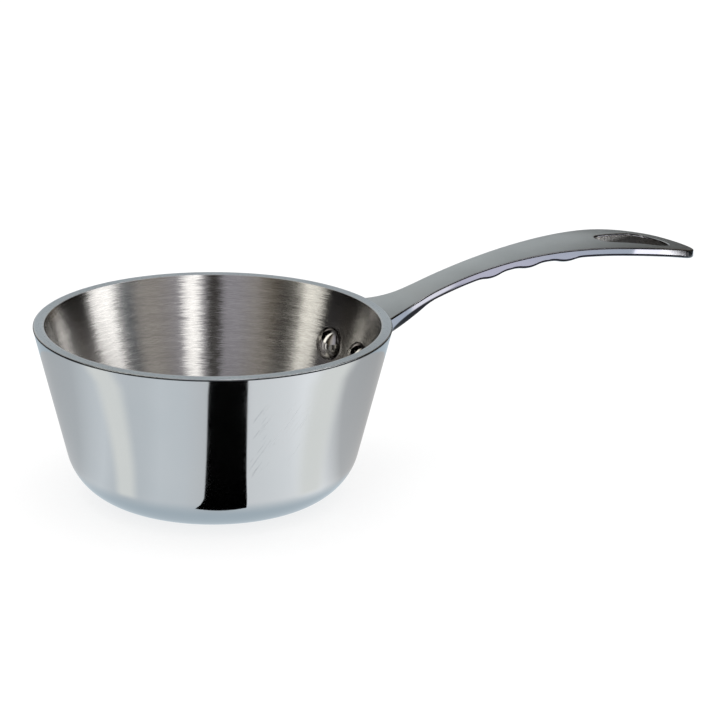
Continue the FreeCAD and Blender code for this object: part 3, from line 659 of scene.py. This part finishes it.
def add_surround():
    """Dome of soft light that mirrors see: dark skirting, the tones, and a pale ceiling."""
    m = Nodes("surround")
    x, y, z = m.position()
    lift = m.math("DIVIDE", z, SURROUND_REACH)
    bands = m.tones(m.heading(x, y), HORIZON_TONES)
    bands = m.mix_colour(m.span(lift, 0.9, 0.98), bands, (0.3, 0.3, 0.3, 1))
    bands = m.mix_colour(m.span(lift, 0.05, 0.1), (*BLACK, 1), bands)
    rows, columns = 16, 72
    points, faces = [], []
    for row in range(rows + 1):
        rise = math.radians(-2 + 92 * row / rows)
        for column in range(columns):
            angle = 2 * math.pi * column / columns
            points.append((SURROUND_REACH * math.cos(rise) * math.sin(angle),
                           -SURROUND_REACH * math.cos(rise) * math.cos(angle),
                           SURROUND_REACH * math.sin(rise)))
    for row in range(rows):
        for column in range(columns):
            after = (column + 1) % columns
            faces.append((row * columns + column, row * columns + after,
                          (row + 1) * columns + after, (row + 1) * columns + column))
    stage_piece("surround", points, faces, m.glow_only(bands))


def add_floor_cards():
    """What the outside of the bowl and the handle's side mirror, from the pot outwards."""
    m = Nodes("floor_glow")
    x, y = m.position()[:2]
    stops = []
    for heading, tone in FLOOR_TONES:
        tint = (0.985, 1.0, 1.015) if heading < 0 else (1.02, 1.0, 0.99)
        stops.append((heading, tuple(tone * part for part in tint)))
    floor_sector("floor_glow", -180, 180, 20 * MM, 150 * MM,
                 m.glow_only(m.tones(m.heading(x, y), stops)))
    m = Nodes("floor_base")
    x, y = m.position()[:2]
    fade = m.span(m.reach(x, y), 44 * MM, 56 * MM, 1.0, 0.0)
    floor_sector("floor_base", -180, 180, 20 * MM, 56 * MM, m.veil((0.62, 0.69, 0.74, 1), fade),
                 0.3 * MM)
    far_grey = plain("far_card", (0.55, 0.62, 0.67))
    haze = plain("haze_card", (0.72, 0.72, 0.8))
    ring = plain("ring_card", (1.6, 1.6, 1.65))
    floor_sector("floor_far", -180, 180, 150 * MM, 380 * MM, far_grey)
    for side, sign in (("left", -1), ("right", 1)):
        near, wide = sorted((sign * 40, sign * 100))
        floor_sector(f"floor_haze_{side}", near, wide, 150 * MM, 300 * MM, haze, 0.3 * MM)
        near, wide = sorted((sign * 80, sign * 115))
        floor_sector(f"floor_ring_{side}", near, wide, 300 * MM, 380 * MM, ring, 0.3 * MM)
    floor_sector("floor_shine", -45, 42, 170 * MM, 300 * MM, plain("shine_card", (1.6, 1.6, 1.6)),
                 0.4 * MM)
    floor_sector("floor_dark", -180, 180, 380 * MM, 2150 * MM, plain("dark_card", BLACK))
    finger_card("finger_left", -1, (44.5, 69.5), (7, 12))
    finger_card("finger_right", 1, (52, 78), (10, 17))
    edges = ((-8.5, 50), (-6, 54), (-4.4, 61), (-3, 95), (-1.5, 185), (18.5, 194), (18, 89),
             (17, 62), (16, 50))
    floor_patch("front_flag", edges, plain("flag_card", BLACK), 0.6 * MM)


def add_floor():
    m = Nodes("studio_floor")
    m.set(Base_Color=(0.25, 0.25, 0.25, 1), Roughness=0.9, Specular_IOR_Level=0.0,
          Emission_Color=(0.77, 0.77, 0.77, 1), Emission_Strength=1.0)
    side = 6.0
    corners = [(-side, -side, 0), (side, -side, 0), (side, side, 0), (-side, side, 0)]
    mesh_object("floor", corners, [(0, 1, 2, 3)], (m.material,))


def add_light():
    """Even white light for the floor; mirrors see the cards instead."""
    world = bpy.data.worlds.new("studio")
    bpy.context.scene.world = world
    world.use_nodes = True
    sky = world.node_tree.nodes["Background"]
    sky.inputs[0].default_value = (1.0, 1.0, 1.0, 1)
    sky.inputs[1].default_value = 1.0
    data = bpy.data.lights.new("top_light", "AREA")
    data.size = 1.4
    data.energy = 9.0
    light = bpy.data.objects.new("top_light", data)
    light.location = (0, 0, 1.8)
    light.visible_glossy = False
    bpy.context.collection.objects.link(light)


add_bowl()
FINISHES = {"handle": cast_steel(), "rivet_left": rivet_steel("rivet_left"),
            "rivet_right": rivet_steel("rivet_right")}
for name, material in FINISHES.items():
    NODES[name].data.materials.clear()
    NODES[name].data.materials.append(material)
add_hole_boss()

add_camera()
add_light()
add_floor()
add_surround()
add_floor_cards()
bpy.context.scene.view_settings.view_transform = "Standard"
